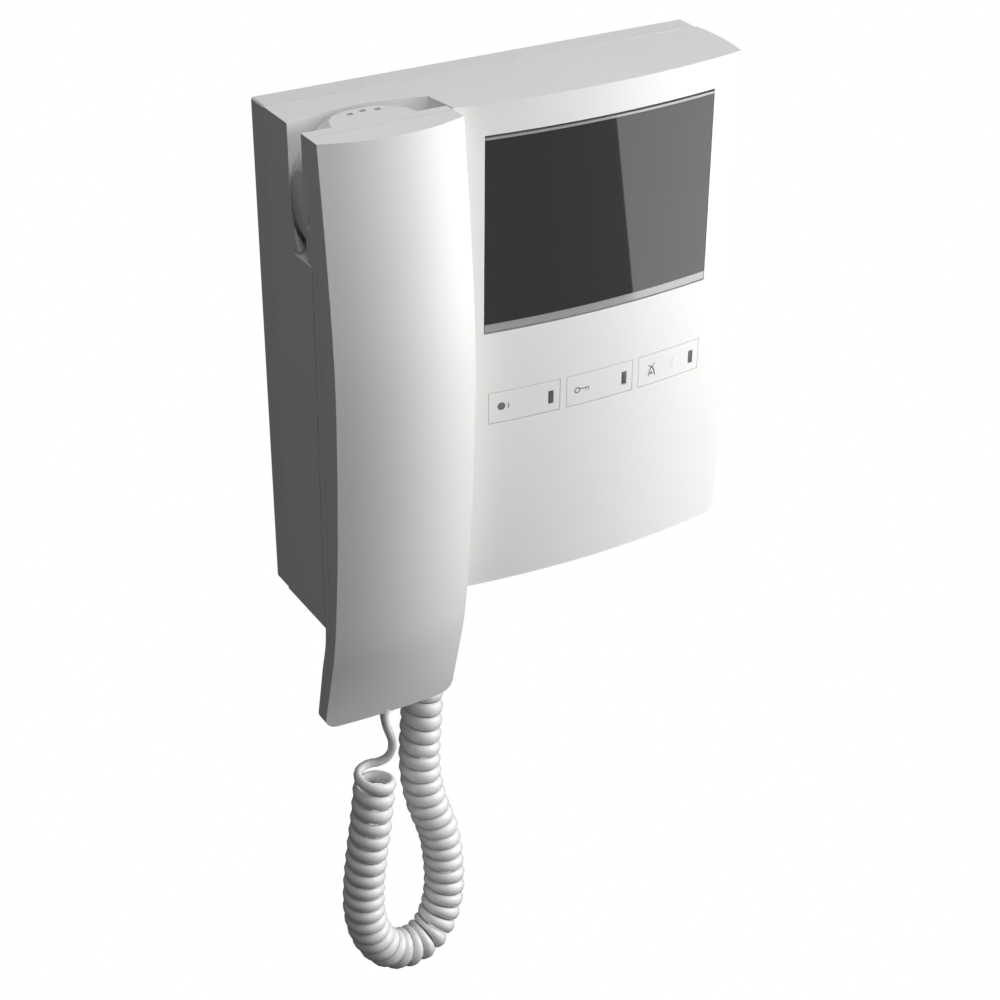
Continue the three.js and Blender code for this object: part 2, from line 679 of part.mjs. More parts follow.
function addCoverScrews() {
  for (const [side, x] of Object.entries(COVER_SCREW_X)) {
    const screw = screwGeometry(2.8, 1.7, 1.3, 12).rotateX(Math.PI / 2);
    add(`cover_screw_${side}`, screw, "steel", [x, -COVER_SCREW_DEPTH, -88.3]);
  }
}

// ---------------------------------------------------------------- handset

// Heights, depths and crown along the handset, smoothly between its stations.
function handsetLevels(count) {
  const place = HANDSET_STATIONS.map(([z, back, front]) => new THREE.Vector3(z, back, front));
  const crown = HANDSET_STATIONS.map(([z, , , bulge]) => new THREE.Vector3(z, bulge, 0));
  const placeCurve = new THREE.CatmullRomCurve3(place, false, "catmullrom", 0.5);
  const crownCurve = new THREE.CatmullRomCurve3(crown, false, "catmullrom", 0.5);
  const levels = [];
  for (let i = 0; i <= count; i++) {
    const { x: z, y: back, z: front } = placeCurve.getPoint(i / count);
    const part = back + PARTING * (front - back);
    levels.push({ z, back, front, part, crown: crownCurve.getPoint(i / count).y });
  }
  return levels;
}

const HANDSET_LEVELS = handsetLevels(24);

// A stretch of the handset between two depths, pulled in by an inset at the sides and ends.
function handsetSolid(inset, backOf, frontOf, crownShare) {
  const half = HANDSET_HALF - inset;
  const columns = 12;
  const rings = HANDSET_LEVELS.map((level) => {
    const z = Math.min(Math.max(level.z, HANDSET_BOTTOM + inset), HANDSET_TOP - inset);
    const ring = [];
    for (let i = 0; i <= columns; i++) {
      const across = -1 + (2 * i) / columns;
      const bulge = crownShare * level.crown * (1 - across * across);
      ring.push([HANDSET_CENTRE + half * across, -frontOf(level) - bulge, z]);
    }
    ring.push([HANDSET_CENTRE + half, -backOf(level), z]);
    ring.push([HANDSET_CENTRE - half, -backOf(level), z]);
    return ring;
  });
  return common(loft(rings), handsetOutline(inset));
}

// The handset's outline seen from the front: square at the top, round at its bottom corners.
function handsetOutline(inset) {
  const corner = HANDSET_CORNER - inset;
  const shape = roundedRect(
    HANDSET_CENTRE - HANDSET_HALF + inset,
    HANDSET_BOTTOM + inset,
    HANDSET_CENTRE + HANDSET_HALF - inset,
    HANDSET_TOP - inset,
    [corner, corner, 0, 0],
  );
  return prismY(shape, -80, 0, 5);
}

// What the handset's back has to clear: the housing without its pocket, moved forwards.
function bedClearance(clearance) {
  return cut(housingSolid(0, SEAM_DEPTH).translate(0, -clearance, 0), pocketSolid(-clearance));
}

// The round boss behind the earpiece, flaring out where it meets the handset.
function earBoss() {
  const base = -EAR_BACK_DEPTH;
  const boss = turned(
    [
      [0, base - 3],
      [27.2, base - 3],
      [27.2, base],
      [27, base + 2.7],
      [26.6, base + 5.2],
      [26, base + 6.9],
      [25.3, base + 8.6],
      [24.7, base + 10],
      [23.7, base + 11.2],
      [21.5, base + 12],
      [15, base + 12.4],
      [0, base + 12.6],
    ],
    HANDSET_CENTRE,
    EAR_Z,
    48,
  );
  const lower = prismY(
    roundedRect(
      HANDSET_CENTRE - HANDSET_HALF,
      EAR_Z - 40,
      HANDSET_CENTRE + HANDSET_HALF,
      HANDSET_TOP,
      [0, 0, 0, 0],
    ),
    -50,
    -10,
  );
  return common(boss, lower);
}

const HANDSET_SCREWS = { upper: 24, lower: -72 };

// Depths of the handset at a height, read from its levels.
function depthsAt(z) {
  const after = HANDSET_LEVELS.findIndex((level) => level.z >= z);
  const low = HANDSET_LEVELS[after - 1];
  const high = HANDSET_LEVELS[after];
  const share = (z - low.z) / (high.z - low.z);
  const mix = (key) => low[key] + share * (high[key] - low[key]);
  return { part: mix("part"), front: mix("front"), crown: mix("crown") };
}

function handsetFrontShell() {
  const outer = handsetSolid(0, (level) => level.part, (level) => level.front, 1);
  const hollow = handsetSolid(
    HANDSET_WALL,
    (level) => level.part - 8,
    (level) => level.front - HANDSET_WALL,
    1,
  );
  const posts = Object.values(HANDSET_SCREWS).map((z) => {
    const { part, front, crown } = depthsAt(z);
    return rod("y", 3.2, -front - crown + 0.9, -part - 0.6, [HANDSET_CENTRE, z], 16);
  });
  const bores = Object.values(HANDSET_SCREWS).map((z) => {
    const { part } = depthsAt(z);
    return rod("y", 1.6, -part - 6.4, -part + 4, [HANDSET_CENTRE, z], 12);
  });
  return cut(join(cut(outer, hollow), ...posts), ...bores, handsetGlandHole());
}

function handsetBackShell() {
  const outer = join(
    handsetSolid(0, (level) => level.back, (level) => level.part - PARTING_GAP, 0),
    earBoss(),
  );
  const skin = HANDSET_WALL;
  const hollow = cut(
    handsetSolid(skin, (level) => level.back + skin, (level) => level.part + 8, 0),
    bedClearance(0.6 + skin),
  );
  const earCavity = rod("y", 22.6, -48, -EAR_BACK_DEPTH + 10.2, [HANDSET_CENTRE, EAR_Z], 40);
  const earTop = block(-90, -20, -60, -20, HANDSET_TOP - 3.2, HANDSET_TOP + 5);
  const studs = Object.values(HANDSET_SCREWS).map((z) => {
    const { part } = depthsAt(z);
    return rod("y", 4.2, -part + 0.5, -part + 5, [HANDSET_CENTRE, z], 18);
  });
  const bores = Object.values(HANDSET_SCREWS).flatMap((z) => {
    const { part } = depthsAt(z);
    return [
      rod("y", 1.6, -part - 4, -30, [HANDSET_CENTRE, z], 12),
      rod("y", 3.0, -part + 1.9, -30, [HANDSET_CENTRE, z], 18),
    ];
  });
  const soundHoles = [0, 1, 2, 3, 4, 5, 6].map((i) => {
    const radius = i ? 7 : 0;
    const angle = (i / 6) * 2 * Math.PI;
    const at = [HANDSET_CENTRE + radius * Math.cos(angle), EAR_Z + radius * Math.sin(angle)];
    return rod("y", 1.2, -40, -20, at, 10);
  });
  const topSlots = [-1, 0, 1].map((i) => {
    const x = HANDSET_CENTRE + 4.8 * i;
    const y = -27.8 - 0.9 * Math.abs(i);
    return block(x - 1.1, x + 1.1, y - 1, y + 1, HANDSET_TOP - 4, HANDSET_TOP + 2);
  });
  const sideSlot = block(-90, -80.2, -40.4, -39.2, 58.8, 61.8);
  const mouthHoles = [-4, 0, 4].map((x) => rod("y", 0.9, -50, -20, [HANDSET_CENTRE + x, MOUTH_Z], 8));
  const shell = join(cut(outer, hollow, cut(earCavity, earTop)), ...studs);
  return cut(
    shell,
    bedClearance(0.6),
    ...bores,
    ...soundHoles,
    ...topSlots,
    sideSlot,
    ...mouthHoles,
    handsetGlandHole(),
  );
}

const handsetGlandHole = () =>
  rod("z", 3.1, HANDSET_BOTTOM - 2, HANDSET_BOTTOM + 4, [HANDSET_EXIT.x, HANDSET_EXIT.y], 18);

function addHandset() {
  add("handset_front_shell", handsetFrontShell(), "housing");
  add("handset_back_shell", handsetBackShell(), "housing");
  const seat = -EAR_BACK_DEPTH + 10.2 - GAP;
  const capsule = join(
    rod("y", 17.5, seat - 6, seat, [HANDSET_CENTRE, EAR_Z], 32),
    rod("y", 9, seat - 9, seat - 5, [HANDSET_CENTRE, EAR_Z], 24),
  );
  add("earpiece_capsule", capsule, "component");
  const gasket = cut(
    rod("y", 19.4, seat - 5, seat, [HANDSET_CENTRE, EAR_Z], 32),
    rod("y", 17.8, seat - 8, seat + 2, [HANDSET_CENTRE, EAR_Z], 32),
  );
  add("earpiece_gasket", gasket, "rubber");
  const mouth = [HANDSET_CENTRE, MOUTH_Z];
  add("microphone_capsule", rod("y", 3.3, -42, -39.6, mouth, 20), "component");
  const boot = cut(
    rod("y", 4.7, -42.2, -38.6, mouth, 20),
    rod("y", 3.6, -45, -39.3, mouth, 20),
    rod("y", 1.5, -45, -30, mouth, 10),
  );
  add("microphone_boot", boot, "rubber");
  add("handset_ballast", block(-69, -43, -49.2, -45.2, -52, 6), "steel");
  for (const [name, z] of Object.entries(HANDSET_SCREWS)) {
    const { part } = depthsAt(z);
    const screw = screwGeometry(2.6, 1.4, 1.3, 8).rotateZ(Math.PI);
    const headFace = -part + 1.9 + GAP + 1.4;
    add(`handset_screw_${name}`, screw, "steel", [HANDSET_CENTRE, headFace, z]);
  }
}

// ---------------------------------------------------------------- cord

// A gland turned about Z: a collar outside the wall, and a neck through it.
function glandGeometry(collarRadius, neckRadius, neckLength, collarHeight) {
  const bore = CORD_RADIUS + GAP;
  const points = [
    [bore, -collarHeight],
    [collarRadius * 0.85, -collarHeight],
    [collarRadius, -GAP],
    [neckRadius, -GAP],
    [neckRadius, neckLength],
    [bore, neckLength],
    [bore, -collarHeight],
  ];
  const profile = points.map(([radius, height]) => new THREE.Vector2(radius, height));
  return new THREE.LatheGeometry(profile, 20).rotateX(Math.PI / 2);
}

function addCord() {
  add("cord_gland_body", glandGeometry(5.4, 3.7, 5, 3.2), "cord", BODY_EXIT.toArray());
  add("cord_gland_handset", glandGeometry(3.4, 2.8, 2.4, 0.6), "cord", HANDSET_EXIT.toArray());
  const coilEnd = COIL_ROUTE[COIL_ROUTE.length - 1];
  const bodyTail = [
    [BODY_EXIT.x, BODY_EXIT.y, -HALF_HEIGHT - 0.5],
    [BODY_EXIT.x, BODY_EXIT.y, -104],
    [coilEnd[0], coilEnd[1], coilEnd[2] + GAP],
  ];
  add("cord_body_tail", tubeAlong(bodyTail, CORD_RADIUS, 8, 6), "cord");
  add("cord_coil", tubeAlong(COIL_ROUTE, COIL_RADIUS, 12, 44), "cord");
  add("cord_handset_tail", tubeAlong(TAIL_ROUTE, CORD_RADIUS, 8, 8), "cord");
}

// ---------------------------------------------------------------- assembly

add("wall_plate", wallPlate(), "plate");
add("front_cover", frontCover(), "housing");
addWindow();
addDisplay();
addMainBoard();
addTerminalBlock();
addButtons();
addCallSounder();
addThumbwheels();
addHookSwitch();
addCoverScrews();
addHandset();
addCord();

function group(name, filter) {
  const result = new THREE.Group();
  result.name = name;
  for (const mesh of nodes.values()) {
    if (filter(mesh.name)) result.add(mesh);
  }
  return result;
}

const HANDSET_NODE = /^(handset|earpiece|microphone|cord_gland_handset|cord_handset|cord_coil)/;
const monitor = new THREE.Group();
monitor.add(group("handset", (name) => HANDSET_NODE.test(name)));
monitor.add(group("housing", (name) => !HANDSET_NODE.test(name)));

export default monitor;
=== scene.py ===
"""Looks for the wall-mounted video intercom monitor: cord, printed symbols, materials, light and camera.

Everything is in metres in the CAD frame: the origin is the centre of the wall face, +X is the user's right,
+Y points into the wall and +Z points up.
"""

import json
import math

import bpy
import numpy as np
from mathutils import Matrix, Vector
from mathutils.bvhtree import BVHTree


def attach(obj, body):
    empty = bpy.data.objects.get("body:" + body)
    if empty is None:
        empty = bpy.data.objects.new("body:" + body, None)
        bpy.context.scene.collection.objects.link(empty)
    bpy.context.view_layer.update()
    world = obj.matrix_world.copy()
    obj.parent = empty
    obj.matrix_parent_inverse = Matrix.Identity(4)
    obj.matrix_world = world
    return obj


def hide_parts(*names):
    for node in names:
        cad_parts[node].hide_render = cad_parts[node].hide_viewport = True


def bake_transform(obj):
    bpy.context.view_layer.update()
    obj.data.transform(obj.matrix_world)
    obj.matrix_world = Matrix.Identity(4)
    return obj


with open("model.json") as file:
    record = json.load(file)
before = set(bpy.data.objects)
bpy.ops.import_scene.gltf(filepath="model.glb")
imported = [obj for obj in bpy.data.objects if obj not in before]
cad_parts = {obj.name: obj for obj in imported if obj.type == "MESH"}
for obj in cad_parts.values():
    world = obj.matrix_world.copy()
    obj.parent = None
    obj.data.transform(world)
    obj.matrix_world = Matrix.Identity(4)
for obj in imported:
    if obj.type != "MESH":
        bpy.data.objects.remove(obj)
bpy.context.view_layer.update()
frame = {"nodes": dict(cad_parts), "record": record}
NODES = frame["nodes"]
MM = 0.001
scene = bpy.context.scene


# ---------------------------------------------------------------- camera

LENS = 81.6  # mm, on a sensor 36 mm wide
CAMERA_PLACE = (-0.3491, -0.6327, 0.3291)
CAMERA_TILT = 60.52  # degrees from straight down
CAMERA_PAN = -29.51  # degrees from facing the wall squarely


def make_camera():
    """The photograph's point of view: from the left and from above."""
    data = bpy.data.cameras.new("camera")
    data.lens = LENS
    data.sensor_width = 36
    data.clip_start = 0.01
    camera = bpy.data.objects.new("camera", data)
    camera.location = CAMERA_PLACE
    camera.rotation_euler = (math.radians(CAMERA_TILT), 0, math.radians(CAMERA_PAN))
    scene.collection.objects.link(camera)
    scene.camera = camera


make_camera()


# ---------------------------------------------------------------- cord

CORD_RADIUS = 1.6 * MM
COIL_RADIUS = 7.9 * MM  # outside of the turns
TIGHT_PITCH = 5.2 * MM  # from turn to turn at the bottom of the loop
LOOSE_PITCH = 6.3 * MM  # and at the coil's two ends
TURN_THICKNESS = 3.0 * MM  # of the wound cord, towards the coil's axis
TURN_FILL = 0.94  # its width along the coil, as a share of the pitch
WIDEST_TURN = 2.85 * MM  # half its width where a bend spreads the turns
CREASE = 0.6  # how much the turns narrow towards the coil's outside and inside
STEPS_PER_TURN = 20
FIRST_ANGLE = math.radians(60)  # where the first turn starts, from the coil's right side towards the wall
BEND_RADIUS = 6.0 * MM  # between each straight end and the turns
EASING = 10  # rounds of smoothing on the straight ends' bends
HELD_POINTS = 4  # at each end of the cord, which the smoothing leaves where they are
CURVE_STEPS = 40  # between two points of a route
STRAIGHT_STEP = 0.9 * MM  # between two rings where the cord isn't coiled
CORD_SIDES = 12

HANDSET_EXIT = (-57, -33, -132.8)
HANDSET_TAIL = [
    HANDSET_EXIT,
    (-57, -33, -137),
    (-55.8, -32.5, -141.7),
    (-54.1, -31.2, -146),
    (-52.5, -29.4, -149.7),
]
BODY_TAIL = [
    (-33.6, -17, -100),
    (-33.6, -17, -95),
    (-33.6, -17, -88.9),
]
COIL_ROUTE = [
    (-60.3, -31, -160.5),
    (-62.5, -30.8, -180),
    (-64.9, -30.4, -197.7),
    (-66.3, -30, -213),
    (-66.2, -29.8, -224),
    (-63.5, -29.4, -235.1),
    (-58.4, -28.9, -243.7),
    (-52.8, -28.2, -248.2),
    (-44.1, -27.2, -249.8),
    (-36.9, -26.2, -246.5),
    (-32.1, -25.2, -239.1),
    (-29.6, -24.2, -230),
    (-29, -23.2, -221),
    (-30, -21.6, -205.5),
    (-34.4, -20, -189),
    (-36, -19, -177),
    (-35.8, -18.4, -165),
    (-34.6, -18, -152),
    (-33.6, -17.4, -138),
    (-33.6, -17, -128),
]


def unit(v):
    return v / np.linalg.norm(v)


def smooth_curve(points, before=None, after=None):
    """A fine centripetal Catmull-Rom curve through points in metres; before and after steer its two ends."""
    p = [np.array(point, float) for point in points]
    p.insert(0, 2 * p[0] - p[1] if before is None else before)
    p.append(2 * p[-1] - p[-2] if after is None else after)
    fine = []
    for a, b, c, d in zip(p, p[1:], p[2:], p[3:]):
        t1 = np.linalg.norm(b - a) ** 0.5
        t2 = t1 + np.linalg.norm(c - b) ** 0.5
        t3 = t2 + np.linalg.norm(d - c) ** 0.5
        for t in np.linspace(t1, t2, CURVE_STEPS, endpoint=False):
            ab = a + (b - a) * t / t1
            bc = b + (c - b) * (t - t1) / (t2 - t1)
            cd = c + (d - c) * (t - t2) / (t3 - t2)
            abc = ab + (bc - ab) * t / t2
            bcd = bc + (cd - bc) * (t - t1) / (t3 - t1)
            fine.append(abc + (bcd - abc) * (t - t1) / (t2 - t1))
    fine.append(p[-2])
    return np.array(fine)


def distances(line):
    """How far along the line each of its points is."""
    return np.concatenate([[0], np.cumsum(np.linalg.norm(np.diff(line, axis=0), axis=1))])


def points_at(line, stations):
    along = distances(line)
    return np.stack([np.interp(stations, along, line[:, k]) for k in range(3)], axis=1)


def in_metres(route):
    return [np.array(point, float) * MM for point in route]


def turn_stations(total):
    """Distances along the coil's axis, one for each step of a turn: the turns are closer in the middle."""
    stations = [0.0]
    while stations[-1] < total:
        share = stations[-1] / total
        pitch = TIGHT_PITCH + (LOOSE_PITCH - TIGHT_PITCH) * (2 * share - 1) ** 2
        stations.append(stations[-1] + pitch / STEPS_PER_TURN)
    return np.array(stations[:-1])


def wound_part():
    """The turns: centres, directions away from the coil's axis, and half widths, from the handset's end."""
    route = smooth_curve(in_metres(COIL_ROUTE))
    stations = turn_stations(distances(route)[-1])
    axis = points_at(route, stations)
    step = np.gradient(stations)[:, None]
    tangents = np.gradient(axis, axis=0)
    tangents /= np.linalg.norm(tangents, axis=1)[:, None]
    bends = np.gradient(tangents, axis=0) / step
    wire = COIL_RADIUS - TURN_THICKNESS / 2
    side = np.array([1.0, 0.0, 0.0])
    centres, outwards, halves = [], [], []
    for i in range(len(axis)):
        side = unit(side - tangents[i] * np.dot(side, tangents[i]))
        other = np.cross(tangents[i], side)
        angle = -FIRST_ANGLE - 2 * math.pi * i / STEPS_PER_TURN
        away = math.cos(angle) * side + math.sin(angle) * other
        pitch = step[i, 0] * STEPS_PER_TURN * (1 - np.dot(bends[i], away) * wire)
        centres.append(axis[i] + away * wire)
        outwards.append(away)
        halves.append(min(TURN_FILL * pitch / 2, WIDEST_TURN))
    return np.array(centres), np.array(outwards), np.array(halves)


def upward_bend(start, heading):
    """Points on the bend that leads from a heading at start to straight up."""
    flat = unit(heading * np.array([1, 1, 0]))
    points = []
    for angle in (0.25, 0.5, 0.75, 1.0):
        turn = angle * math.pi / 2
        rise = BEND_RADIUS * (1 - math.cos(turn))
        points.append(start + flat * BEND_RADIUS * math.sin(turn) + np.array([0, 0, rise]))
    return points


def straight_part(points, before=None, after=None):
    line = smooth_curve(points, before, after)
    total = distances(line)[-1]
    return points_at(line, np.linspace(0, total, round(total / STRAIGHT_STEP) + 1))


def ease(line, start, stop):
    """Evens out the bends of a stretch of a line, in place."""
    for _ in range(EASING):
        before, here, after = line[start - 1 : stop - 1], line[start:stop], line[start + 1 : stop + 1]
        line[start:stop] = (before + 2 * here + after) / 4


def cord_rings():
    """The cord's rings, from the handset to the housing: centres, headings, cross directions, half sizes."""
    wound, outwards, halves = wound_part()
    lead_in = upward_bend(wound[0], wound[0] - wound[1])[::-1]
    lead_out = upward_bend(wound[-1], wound[-1] - wound[-2])
    tail = straight_part([*in_metres(HANDSET_TAIL), *lead_in, wound[0]], after=wound[2])[:-1]
    rise = straight_part([wound[-1], *lead_out, *in_metres(BODY_TAIL)], before=wound[-3])[1:]
    centres = np.concatenate([tail, wound, rise])
    first, last = len(tail), len(tail) + len(wound)
    ease(centres, HELD_POINTS, first)
    ease(centres, last, len(centres) - HELD_POINTS)
    ahead = np.gradient(centres, axis=0)
    ahead /= np.linalg.norm(ahead, axis=1)[:, None]
    across = np.zeros_like(centres)
    across[first:last] = outwards
    for i in range(first - 1, -1, -1):
        across[i] = unit(across[i + 1] - ahead[i] * np.dot(across[i + 1], ahead[i]))
    for i in range(last, len(centres)):
        across[i] = unit(across[i - 1] - ahead[i] * np.dot(across[i - 1], ahead[i]))
    sizes = np.full((len(centres), 2), CORD_RADIUS)
    ramp = np.clip(np.minimum(np.arange(len(wound)), np.arange(len(wound))[::-1]) / STEPS_PER_TURN, 0, 1)
    sizes[first:last, 0] += (TURN_THICKNESS / 2 - CORD_RADIUS) * ramp
    sizes[first:last, 1] += (halves - CORD_RADIUS) * ramp
    return centres, ahead, across, sizes


def make_cord():
    centres, ahead, across, sizes = cord_rings()
    sides = CORD_SIDES
    verts = []
    for centre, direction, out, (thick, wide) in zip(centres, ahead, across, sizes):
        out = unit(out - direction * np.dot(out, direction))
        along = np.cross(direction, out)
        for k in range(sides):
            turn = 2 * math.pi * k / sides
            edge = math.sin(turn) * (1 - (1 - thick / wide) * CREASE * math.cos(turn) ** 2)
            verts.append(centre + out * thick * math.cos(turn) + along * wide * edge)
    faces = []
    for i in range(len(centres) - 1):
        for k in range(sides):
            a, b = i * sides + k, i * sides + (k + 1) % sides
            faces.append((a, a + sides, b + sides, b))
    faces.append(tuple(range(sides)))
    faces.append(tuple(reversed(range(len(verts) - sides, len(verts)))))
    cord = new_mesh("curly_cord", verts, faces)
    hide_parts("cord_coil", "cord_handset_tail", "cord_body_tail")
    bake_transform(cord)
    return cord


# ---------------------------------------------------------------- mesh helpers


def new_mesh(name, verts, faces):
    mesh = bpy.data.meshes.new(name)
    mesh.from_pydata([tuple(v) for v in verts], [], faces)
    mesh.validate()
    mesh.shade_smooth()
    obj = bpy.data.objects.new(name, mesh)
    scene.collection.objects.link(obj)
    return obj


BEVEL_ANGLE = math.radians(38)  # only sharper edges than this are rounded
SPLIT_ANGLE = math.radians(30)  # and sharper ones than this stay crisp where nothing is rounded


def soften(obj, width):
    """Smooths a CAD node's curved faces by modifiers, and rounds its edges unless the width is 0."""
    mesh = obj.data
    if "custom_normal" in mesh.attributes:
        mesh.attributes.remove(mesh.attributes["custom_normal"])
    mesh.shade_smooth()
    weld = obj.modifiers.new("weld", "WELD")
    weld.merge_threshold = 1e-6
    if width:
        bevel = obj.modifiers.new("bevel", "BEVEL")
        bevel.width = width
        bevel.segments = 2
        bevel.limit_method = "ANGLE"
        bevel.angle_limit = BEVEL_ANGLE
        bevel.miter_outer = "MITER_ARC"
        bevel.use_clamp_overlap = True
        bevel.harden_normals = False
        normals = obj.modifiers.new("normals", "WEIGHTED_NORMAL")
        normals.weight = 50
        normals.keep_sharp = False
    else:
        split = obj.modifiers.new("split", "EDGE_SPLIT")
        split.split_angle = SPLIT_ANGLE


# ---------------------------------------------------------------- materials


def plastic(name, color, roughness, grain=0.25, grain_size=0.35, coat=0.0):
    """Moulded plastic: a fine eroded grain, slow variation in gloss, and a hint of uneven colour."""
    mat = bpy.data.materials.new(name)
    mat.use_nodes = True
    tree = mat.node_tree
    nodes, links = tree.nodes, tree.links
    shader = nodes["Principled BSDF"]
    coords = nodes.new("ShaderNodeTexCoord")

    fine = nodes.new("ShaderNodeTexNoise")
    fine.inputs["Scale"].default_value = 1000 / grain_size
    fine.inputs["Detail"].default_value = 2
    links.new(coords.outputs["Object"], fine.inputs["Vector"])

    slow = nodes.new("ShaderNodeTexNoise")
    slow.inputs["Scale"].default_value = 28
    slow.inputs["Detail"].default_value = 4
    links.new(coords.outputs["Object"], slow.inputs["Vector"])

    tint = nodes.new("ShaderNodeMix")
    tint.data_type = "RGBA"
    tint.inputs["A"].default_value = (*[c * 0.975 for c in color], 1)
    tint.inputs["B"].default_value = (*[min(1.0, c * 1.02) for c in color], 1)
    links.new(slow.outputs["Fac"], tint.inputs["Factor"])
    links.new(tint.outputs["Result"], shader.inputs["Base Color"])

    gloss = nodes.new("ShaderNodeMapRange")
    gloss.inputs["To Min"].default_value = roughness * 0.85
    gloss.inputs["To Max"].default_value = roughness * 1.15
    links.new(slow.outputs["Fac"], gloss.inputs["Value"])
    links.new(gloss.outputs["Result"], shader.inputs["Roughness"])

    bump = nodes.new("ShaderNodeBump")
    bump.inputs["Strength"].default_value = grain
    bump.inputs["Distance"].default_value = 0.00002
    links.new(fine.outputs["Fac"], bump.inputs["Height"])
    links.new(bump.outputs["Normal"], shader.inputs["Normal"])
    shader.inputs["Coat Weight"].default_value = coat
    shader.inputs["Coat Roughness"].default_value = 0.08
    return mat


def metal(name, color, roughness):
    mat = plastic(name, color, roughness, grain=0.4, grain_size=0.2)
    mat.node_tree.nodes["Principled BSDF"].inputs["Metallic"].default_value = 1.0
    return mat


MATERIALS = {
    "housing": plastic("white_abs", (0.83, 0.83, 0.815), 0.36),
    "plate": plastic("offwhite_abs", (0.8, 0.8, 0.79), 0.42),
    "window": plastic("tinted_acrylic", (0.042, 0.044, 0.041), 0.03, grain=0.0),
    "trim": plastic("silver_print", (0.37, 0.37, 0.37), 0.16, grain=0.1, coat=1.0),
    "indicator": plastic("smoked_pipe", (0.12, 0.12, 0.122), 0.25, coat=0.5),
    "panel": plastic("display_glass", (0.02, 0.02, 0.022), 0.15),
    "steel": metal("zinc_steel", (0.6, 0.6, 0.6), 0.32),
    "board": plastic("circuit_board", (0.02, 0.12, 0.05), 0.45),
    "component": plastic("black_moulding", (0.028, 0.028, 0.03), 0.45),
    "terminal": plastic("green_moulding", (0.05, 0.22, 0.09), 0.4),
    "rubber": plastic("soft_rubber", (0.03, 0.03, 0.03), 0.8, grain=0.6),
    "cord": plastic("white_pvc", (0.84, 0.84, 0.825), 0.22, grain=0.1, coat=0.3),
    "print": plastic("grey_ink", (0.16, 0.16, 0.165), 0.5),
}


USUAL_BEVEL = 0.4
# Widths of the rounded edges in mm, where they differ from the usual one; 0 leaves a node's edges sharp.
BEVELS = {
    "handset_back_shell": 0,
    "display_window": 0,
    "window_trim_top": 0,
    "window_trim_bottom": 0,
    "front_cover": 0.15,
    "wall_plate": 0.2,
    "talk_button": 0.1,
    "door_button": 0.1,
    "privacy_button": 0.1,
}


def dress_nodes():
    for part in frame["record"]["subparts"]:
        node = NODES[part["node"]]
        node.data.materials.clear()
        node.data.materials.append(MATERIALS[part["material_slot"]])
    for name, node in NODES.items():
        soften(node, BEVELS.get(name, USUAL_BEVEL) * MM)


# ---------------------------------------------------------------- printed symbols

INK = 0.03 * MM  # how far the ink stands proud


def arc(x, z, radius, start, end, count):
    """Points on an arc in X and Z, in mm, with angles in degrees."""
    angles = np.radians(np.linspace(start, end, count))
    return [(x + radius * math.cos(a), z + radius * math.sin(a)) for a in angles]


def stroke(points, width):
    """The closed outline of a line of that width through points."""
    p = np.array(points, float)
    along = np.gradient(p, axis=0)
    along /= np.linalg.norm(along, axis=1)[:, None]
    normal = np.stack([-along[:, 1], along[:, 0]], axis=1) * width / 2
    return [*(p + normal), *(p - normal)[::-1]]


def print_symbol(name, button, outlines):
    """Ink on a button's curved face: each outline is a closed polygon in X and Z, in mm."""
    mesh = NODES[button].data
    surface = BVHTree.FromPolygons([v.co for v in mesh.vertices], [f.vertices for f in mesh.polygons])
    verts, faces = [], []
    for outline in outlines:
        first, count = len(verts), len(outline)
        for x, z in outline:
            start = Vector((x * MM, -0.1, z * MM))
            verts.append(surface.ray_cast(start, Vector((0, 1, 0)))[0] - Vector((0, INK, 0)))
        verts.extend([v + Vector((0, 2 * INK, 0)) for v in verts[first:]])
        faces.append([first + k for k in range(count)])
        faces.append([first + count + k for k in reversed(range(count))])
        for k in range(count):
            after = (k + 1) % count
            faces.append([first + after, first + k, first + count + k, first + count + after])
    symbol = new_mesh(name, verts, faces)
    symbol.data.materials.append(MATERIALS["print"])
    for face in symbol.data.polygons:
        face.use_smooth = False
    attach(symbol, button)


def make_symbols():
    """A speaking head, a key, and a crossed-out bell."""
    print_symbol(
        "talk_symbol",
        "talk_button",
        [
            arc(-13.3, -19.5, 1.45, 0, 345, 24),
            stroke(arc(-13.3, -19.6, 2.7, -20, 20, 6), 0.4),
        ],
    )
    print_symbol(
        "door_symbol",
        "door_button",
        [
            stroke(arc(15.6, -19.9, 0.95, 0, 180, 12), 0.42),
            stroke(arc(15.6, -19.9, 0.95, 180, 360, 12), 0.42),
            stroke([(16.5, -19.6), (20.4, -19.6)], 0.4),
            stroke([(19.1, -19.7), (19.1, -20.7)], 0.25),
            stroke([(20.1, -19.7), (20.1, -20.9)], 0.25),
        ],
    )
    print_symbol(
        "privacy_symbol",
        "privacy_button",
        [
            stroke([(46.5, -18.7), (45.7, -20.3), (45.2, -22.3)], 0.48),
            stroke([(46.6, -18.7), (47.5, -20.3), (48.1, -22.5)], 0.48),
            stroke([(47.8, -17.7), (46.6, -19.3)], 0.36),
            stroke([(45.3, -17.9), (46.4, -19.3)], 0.36),
            arc(46.5, -21.3, 0.55, 0, 330, 12),
        ],
    )


# ---------------------------------------------------------------- light and floor

FLOOR_SIZE = 8
FLOOR_HEIGHT = -0.275  # just below the cord's loop


def area_light(name, location, target, size, power, color=(1, 1, 1)):
    data = bpy.data.lights.new(name, "AREA")
    data.shape = "RECTANGLE"
    data.size, data.size_y = size
    data.energy = power
    data.color = color
    light = bpy.data.objects.new(name, data)
    light.location = location
    aim = Vector(target) - Vector(location)
    light.rotation_euler = aim.to_track_quat("-Z", "Y").to_euler()
    light.visible_camera = False
    scene.collection.objects.link(light)
    return light


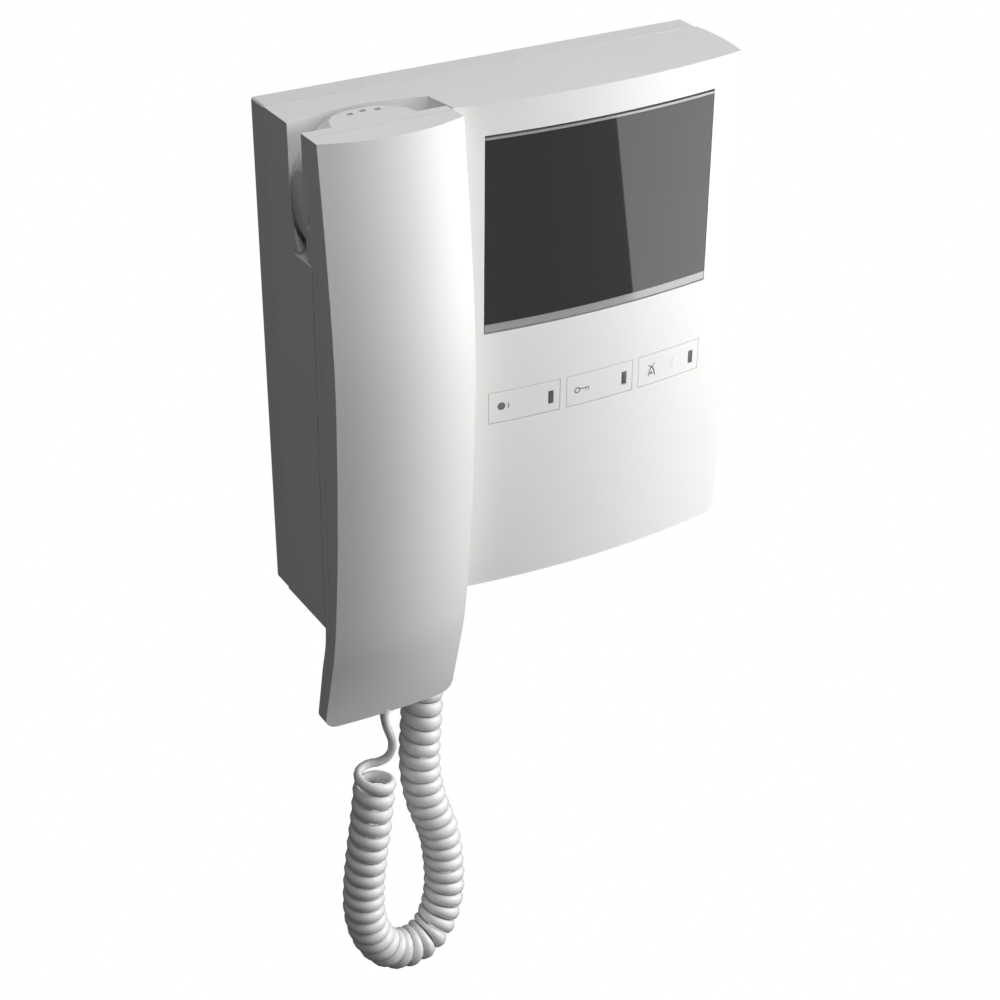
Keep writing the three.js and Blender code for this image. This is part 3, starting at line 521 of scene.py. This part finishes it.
def make_studio():
    """A dim sky, a tall soft box at the right that the display reflects, weaker boxes, and a white floor."""
    world = bpy.data.worlds.new("studio")
    world.use_nodes = True
    nodes, links = world.node_tree.nodes, world.node_tree.links
    background = nodes["Background"]
    background.inputs["Color"].default_value = (0.97, 0.97, 1, 1)
    coords = nodes.new("ShaderNodeTexCoord")
    split = nodes.new("ShaderNodeSeparateXYZ")
    links.new(coords.outputs["Generated"], split.inputs["Vector"])
    glow = nodes.new("ShaderNodeMapRange")  # darker below than above
    glow.inputs["From Min"].default_value = -1
    glow.inputs["To Min"].default_value = 0.03
    glow.inputs["To Max"].default_value = 0.17
    links.new(split.outputs["Z"], glow.inputs["Value"])
    links.new(glow.outputs["Result"], background.inputs["Strength"])
    scene.world = world

    display = Vector((0.025, -0.043, 0.043))
    middle = Vector((0, -0.03, 0))
    key = area_light("key", (0.406, -0.269, 0.092), display, (0.53, 0.57), 2.4)
    key.rotation_euler.rotate_axis("Z", math.radians(23))  # so that its edge slants across the display
    side = area_light("side", (0.5, -0.24, -0.02), Vector((0, -0.03, -0.08)), (0.4, 0.4), 1.8)
    side.visible_glossy = False
    area_light("upper", (0, -0.185, 0.58), middle, (0.4, 0.4), 1.85, (0.99, 0.99, 1))
    area_light("front", (0, -0.78, 0.27), middle, (0.5, 0.5), 0.55)

    bpy.ops.mesh.primitive_plane_add(size=FLOOR_SIZE, location=(0, 0, FLOOR_HEIGHT))
    floor = bpy.context.object
    floor.name = "floor"
    floor.visible_diffuse = False
    floor.visible_glossy = False
    mat = bpy.data.materials.new("pale_floor")
    mat.use_nodes = True
    shader = mat.node_tree.nodes["Principled BSDF"]
    shader.inputs["Base Color"].default_value = (0, 0, 0, 1)
    shader.inputs["Specular IOR Level"].default_value = 0
    shader.inputs["Emission Color"].default_value = (1, 1, 1, 1)
    shader.inputs["Emission Strength"].default_value = 1.0
    floor.data.materials.append(mat)

    scene.view_settings.view_transform = "Standard"


# ---------------------------------------------------------------- making it

cord = make_cord()
cord.data.materials.append(MATERIALS["cord"])
dress_nodes()
make_symbols()
make_studio()
